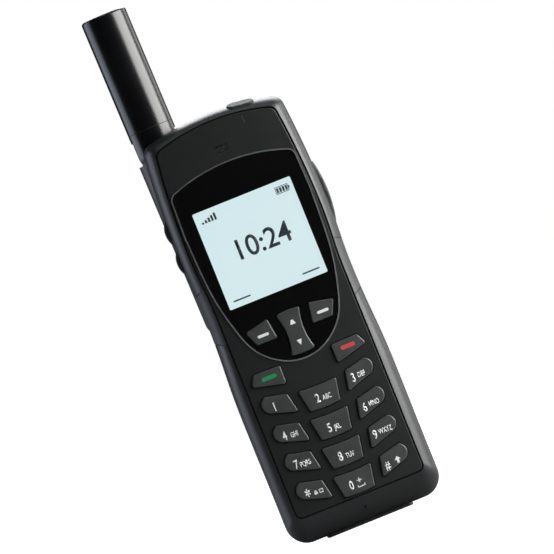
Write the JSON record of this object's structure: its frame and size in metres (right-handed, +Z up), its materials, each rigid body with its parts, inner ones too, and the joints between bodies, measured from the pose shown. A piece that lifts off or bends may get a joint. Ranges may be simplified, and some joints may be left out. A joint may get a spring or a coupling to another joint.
{
  "type": "satellite phone",
  "caption": "Handheld satellite phone with a keypad, a square display behind a glossy lens, a thick antenna that slides out and swivels, side keys and a removable battery.",
  "frame": {"origin": "centre of the flat base that the phone stands on", "axes": "+Z up the phone, from the base to the antenna; +X to the user's right; the keypad faces -Y"},
  "size_m": [0.0546, 0.03, 0.1858],
  "materials": {
    "shell_plastic": "satin, fine texture",
    "panel_plastic": "satin",
    "key_plastic": "satin",
    "lens_black": "high gloss",
    "clear_pane": "clear",
    "display_face": "pale backlit",
    "bright_metal": "satin bright",
    "soft_rubber": "matt",
    "circuit_board": "solder mask",
    "steel": "plain",
    "gold_contact": "gold plated",
    "antenna_plastic": "satin",
    "flex_circuit": "polyimide",
    "light_guide": "clear"
  },
  "bodies": {
    "housing": {"front_housing": "shell_plastic", "rear_housing": "shell_plastic", "shell_gasket": "soft_rubber", "side_grip_left": "panel_plastic", "side_grip_right": "panel_plastic", "face_panel": "panel_plastic", "lens_ring": "bright_metal", "display_lens": "lens_black", "display_window": "clear_pane", "lcd_panel": "display_face", "lcd_frame": "steel", "earpiece_mesh": "steel", "earpiece_speaker": "lens_black", "light_pipe": "light_guide", "keypad_mat": "soft_rubber", "key_domes": "steel", "main_board": "circuit_board", "rf_shields": "steel", "microphone": "soft_rubber", "side_switches": "lens_black", "usb_socket": "steel", "headset_jack": "lens_black", "base_block": "shell_plastic", "dc_socket": "lens_black", "rear_speaker": "lens_black", "battery_contacts": "gold_contact", "sim_holder": "lens_black", "rf_connector": "gold_contact", "housing_screws": "steel", "battery_pack": "shell_plastic", "latch_spring": "steel"},
    "key_1_cap": {"key_1": "key_plastic"},
    "key_2_cap": {"key_2": "key_plastic"},
    "key_3_cap": {"key_3": "key_plastic"},
    "key_4_cap": {"key_4": "key_plastic"},
    "key_5_cap": {"key_5": "key_plastic"},
    "key_6_cap": {"key_6": "key_plastic"},
    "key_7_cap": {"key_7": "key_plastic"},
    "key_8_cap": {"key_8": "key_plastic"},
    "key_9_cap": {"key_9": "key_plastic"},
    "key_star_cap": {"key_star": "key_plastic"},
    "key_0_cap": {"key_0": "key_plastic"},
    "key_hash_cap": {"key_hash": "key_plastic"},
    "send_key_cap": {"send_key": "key_plastic"},
    "end_key_cap": {"end_key": "key_plastic"},
    "soft_key_left_cap": {"soft_key_left": "key_plastic"},
    "soft_key_right_cap": {"soft_key_right": "key_plastic"},
    "nav_key_cap": {"nav_key": "key_plastic"},
    "volume_up_key_cap": {"volume_up_key": "soft_rubber"},
    "volume_down_key_cap": {"volume_down_key": "soft_rubber"},
    "power_button_cap": {"power_button": "soft_rubber"},
    "side_flap": {"side_cover": "soft_rubber"},
    "rf_flap": {"rf_port_cover": "soft_rubber"},
    "latch": {"battery_latch": "shell_plastic"},
    "antenna_mast": {"antenna_slider": "antenna_plastic", "slider_ring": "soft_rubber"},
    "antenna": {"antenna_radome": "antenna_plastic", "antenna_flex": "flex_circuit", "antenna_collar": "antenna_plastic", "swivel_pin": "steel"}
  },
  "joints": [
    {"name": "key_1_press", "type": "slide", "parent": "housing", "child": "key_1_cap", "axis": [0, 1, 0], "range_m": [0, 0.0005], "stiffness_N_per_m": 600, "springref_m": -0.0005},
    {"name": "key_2_press", "type": "slide", "parent": "housing", "child": "key_2_cap", "axis": [0, 1, 0], "range_m": [0, 0.0005], "stiffness_N_per_m": 600, "springref_m": -0.0005},
    {"name": "key_3_press", "type": "slide", "parent": "housing", "child": "key_3_cap", "axis": [0, 1, 0], "range_m": [0, 0.0005], "stiffness_N_per_m": 600, "springref_m": -0.0005},
    {"name": "key_4_press", "type": "slide", "parent": "housing", "child": "key_4_cap", "axis": [0, 1, 0], "range_m": [0, 0.0005], "stiffness_N_per_m": 600, "springref_m": -0.0005},
    {"name": "key_5_press", "type": "slide", "parent": "housing", "child": "key_5_cap", "axis": [0, 1, 0], "range_m": [0, 0.0005], "stiffness_N_per_m": 600, "springref_m": -0.0005},
    {"name": "key_6_press", "type": "slide", "parent": "housing", "child": "key_6_cap", "axis": [0, 1, 0], "range_m": [0, 0.0005], "stiffness_N_per_m": 600, "springref_m": -0.0005},
    {"name": "key_7_press", "type": "slide", "parent": "housing", "child": "key_7_cap", "axis": [0, 1, 0], "range_m": [0, 0.0005], "stiffness_N_per_m": 600, "springref_m": -0.0005},
    {"name": "key_8_press", "type": "slide", "parent": "housing", "child": "key_8_cap", "axis": [0, 1, 0], "range_m": [0, 0.0005], "stiffness_N_per_m": 600, "springref_m": -0.0005},
    {"name": "key_9_press", "type": "slide", "parent": "housing", "child": "key_9_cap", "axis": [0, 1, 0], "range_m": [0, 0.0005], "stiffness_N_per_m": 600, "springref_m": -0.0005},
    {"name": "key_star_press", "type": "slide", "parent": "housing", "child": "key_star_cap", "axis": [0, 1, 0], "range_m": [0, 0.0005], "stiffness_N_per_m": 600, "springref_m": -0.0005},
    {"name": "key_0_press", "type": "slide", "parent": "housing", "child": "key_0_cap", "axis": [0, 1, 0], "range_m": [0, 0.0005], "stiffness_N_per_m": 600, "springref_m": -0.0005},
    {"name": "key_hash_press", "type": "slide", "parent": "housing", "child": "key_hash_cap", "axis": [0, 1, 0], "range_m": [0, 0.0005], "stiffness_N_per_m": 600, "springref_m": -0.0005},
    {"name": "send_key_press", "type": "slide", "parent": "housing", "child": "send_key_cap", "axis": [0, 1, 0], "range_m": [0, 0.0005], "stiffness_N_per_m": 600, "springref_m": -0.0005},
    {"name": "end_key_press", "type": "slide", "parent": "housing", "child": "end_key_cap", "axis": [0, 1, 0], "range_m": [0, 0.0005], "stiffness_N_per_m": 600, "springref_m": -0.0005},
    {"name": "soft_key_left_press", "type": "slide", "parent": "housing", "child": "soft_key_left_cap", "axis": [0, 1, 0], "range_m": [0, 0.0005], "stiffness_N_per_m": 600, "springref_m": -0.0005},
    {"name": "soft_key_right_press", "type": "slide", "parent": "housing", "child": "soft_key_right_cap", "axis": [0, 1, 0], "range_m": [0, 0.0005], "stiffness_N_per_m": 600, "springref_m": -0.0005},
    {"name": "nav_key_rock", "type": "hinge", "parent": "housing", "child": "nav_key_cap", "pos_m": [0, -0.0093, 0.0666], "axis": [1, 0, 0], "range_deg": [-2, 2], "stiffness_Nm_per_rad": 0.05},
    {"name": "volume_up_key_press", "type": "slide", "parent": "housing", "child": "volume_up_key_cap", "axis": [1, 0, 0], "range_m": [0, 0.0005], "stiffness_N_per_m": 600, "springref_m": -0.0005},
    {"name": "volume_down_key_press", "type": "slide", "parent": "housing", "child": "volume_down_key_cap", "axis": [1, 0, 0], "range_m": [0, 0.0005], "stiffness_N_per_m": 600, "springref_m": -0.0005},
    {"name": "power_button_press", "type": "slide", "parent": "housing", "child": "power_button_cap", "axis": [-0.1219, 0.3395, -0.9327], "range_m": [0, 0.0004], "stiffness_N_per_m": 600, "springref_m": -0.0005},
    {"name": "side_cover_hinge", "type": "hinge", "parent": "housing", "child": "side_flap", "pos_m": [0.0273, 0.00245, 0.1055], "axis": [0, 0, 1], "range_deg": [0, 110]},
    {"name": "rf_cover_hinge", "type": "hinge", "parent": "housing", "child": "rf_flap", "pos_m": [0.015, 0.0135, 0.08605], "axis": [-1, 0, 0], "range_deg": [0, 110]},
    {"name": "battery_latch_slide", "type": "slide", "parent": "housing", "child": "latch", "axis": [0, 0, 1], "range_m": [0, 0.002], "stiffness_N_per_m": 600, "springref_m": -0.001, "deforming": ["latch_spring"]},
    {"name": "antenna_slide", "type": "slide", "parent": "housing", "child": "antenna_mast", "axis": [-0.0157, 0, 0.9999], "range_m": [-0.0425, 0]},
    {"name": "antenna_swivel", "type": "hinge", "parent": "antenna_mast", "child": "antenna", "pos_m": [-0.0185, 0.0055, 0.138], "axis": [0, -1, 0], "range_deg": [0, 45]}
  ]
}
